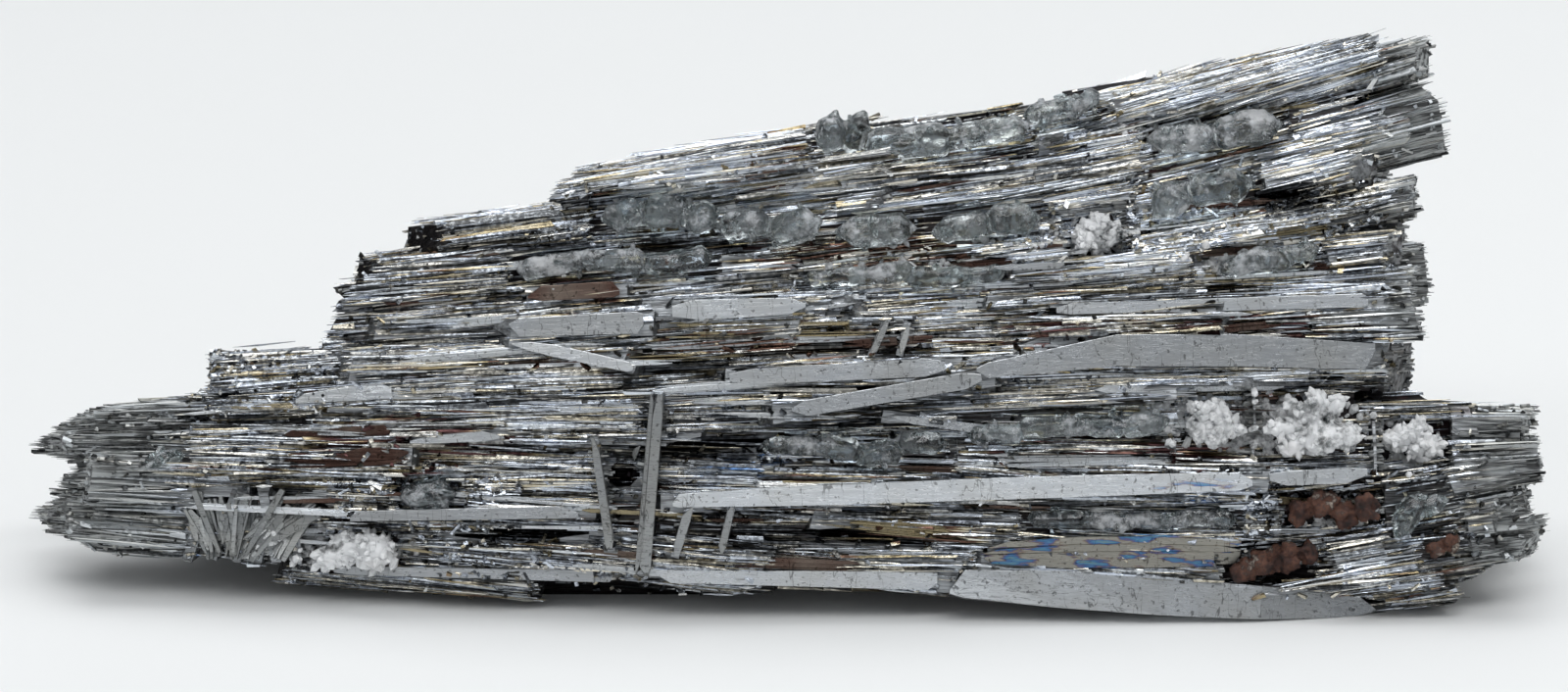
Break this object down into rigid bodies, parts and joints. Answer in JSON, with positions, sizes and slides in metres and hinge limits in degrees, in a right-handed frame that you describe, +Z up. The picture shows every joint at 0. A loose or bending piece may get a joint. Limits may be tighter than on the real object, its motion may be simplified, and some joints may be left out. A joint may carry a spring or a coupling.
{
  "type": "stibnite crystal spray",
  "caption": "Fan of intergrown metallic blades that lies on its long side, with clear crystals and rusty crusts set in the gaps of its broad face.",
  "frame": {"origin": "middle of the spray's length and depth, on the surface it rests on", "axes": "+X along the blades towards the broad broken end, +Y from the broad face towards the back, +Z up"},
  "size_m": [0.11, 0.028, 0.0384],
  "materials": {
    "stibnite": "metallic lead-grey, striated along the blades, with brown to blue tarnish",
    "quartz": "clear to milky, glassy faces",
    "iron_oxide": "dull earthy red-brown"
  },
  "bodies": {
    "root": {"stibnite_spray": "stibnite", "quartz_crest_left": "quartz", "quartz_crest_right": "quartz", "quartz_upper_right": "quartz", "quartz_row_left": "quartz", "quartz_row_centre": "quartz", "quartz_row_mid": "quartz", "quartz_row_right": "quartz", "quartz_pair_right": "quartz", "quartz_pair_left": "quartz", "quartz_seam": "quartz", "quartz_small_white": "quartz", "quartz_low_centre": "quartz", "quartz_band": "quartz", "quartz_low_band": "quartz", "quartz_rust_pocket": "quartz", "quartz_foot_left": "quartz", "quartz_block_left": "quartz", "quartz_tip": "quartz", "quartz_white_ball": "quartz", "quartz_white_cluster": "quartz", "quartz_white_fan": "quartz", "quartz_lobe_cluster": "quartz", "quartz_back_high": "quartz", "quartz_back_low": "quartz", "iron_oxide_nodules": "iron_oxide", "iron_oxide_mass": "iron_oxide", "iron_oxide_spot": "iron_oxide"}
  },
  "joints": []
}
